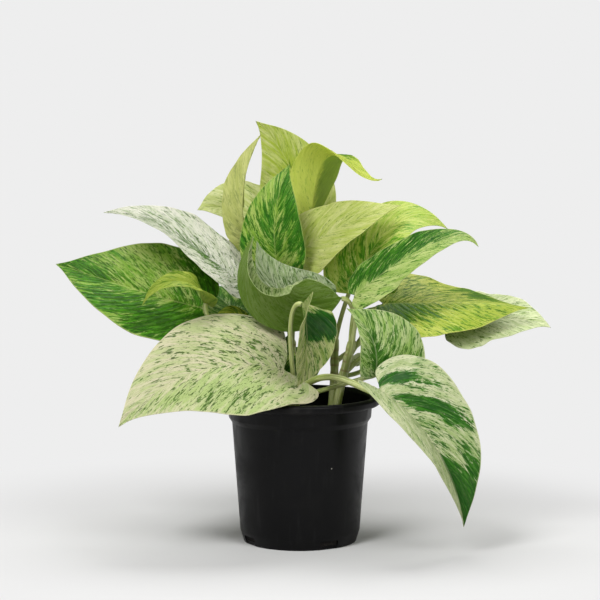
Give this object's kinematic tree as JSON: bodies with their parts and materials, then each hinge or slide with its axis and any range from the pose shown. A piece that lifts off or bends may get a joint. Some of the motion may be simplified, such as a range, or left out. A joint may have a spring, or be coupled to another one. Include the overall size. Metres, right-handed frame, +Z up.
{
  "type": "potted plant",
  "caption": "Bushy marbled pothos with heart-shaped leaves on arching stalks, in a round black nursery pot.",
  "frame": {"origin": "centre of the pot's flat underside, on the surface it stands on", "axes": "+Z up, -Y towards the front of the plant, +X to the right seen from the front"},
  "size_m": [0.3361, 0.2082, 0.2861],
  "materials": {
    "pot": "satin",
    "soil": "matte",
    "stem": "satin",
    "marbled": "satin",
    "cream": "satin",
    "silver": "satin",
    "lime": "satin",
    "dark": "satin"
  },
  "bodies": {
    "root": {"pot": "pot", "soil": "soil", "vine_front": "stem", "vine_left": "stem", "vine_centre": "stem", "vine_top": "stem", "vine_right": "stem", "vine_back": "stem", "vine_back_left": "stem", "leaf_left_marbled": "marbled", "leaf_front_cream": "cream", "leaf_left_silver": "silver", "leaf_left_young": "lime", "leaf_left_low": "lime", "leaf_left_upright": "lime", "leaf_upper_left": "lime", "leaf_upper_narrow": "lime", "leaf_top": "lime", "leaf_centre_dark": "dark", "leaf_top_arching": "lime", "leaf_top_rear": "lime", "leaf_centre_pale": "cream", "leaf_right_upper": "marbled", "leaf_right_folded": "dark", "leaf_right_yellow": "lime", "leaf_right_low": "silver", "leaf_right_speckled": "silver", "leaf_centre_cupped": "silver", "leaf_right_drooping": "cream", "leaf_centre_hanging": "dark", "leaf_centre_shaded": "dark", "leaf_centre_grey": "silver", "leaf_back_left": "marbled", "leaf_back_low_left": "cream", "leaf_back_low": "marbled", "leaf_back_upper_left": "marbled", "leaf_back_upper": "dark", "leaf_back_upper_right": "marbled", "leaf_back_right": "lime", "leaf_back_low_right": "cream"}
  },
  "joints": []
}
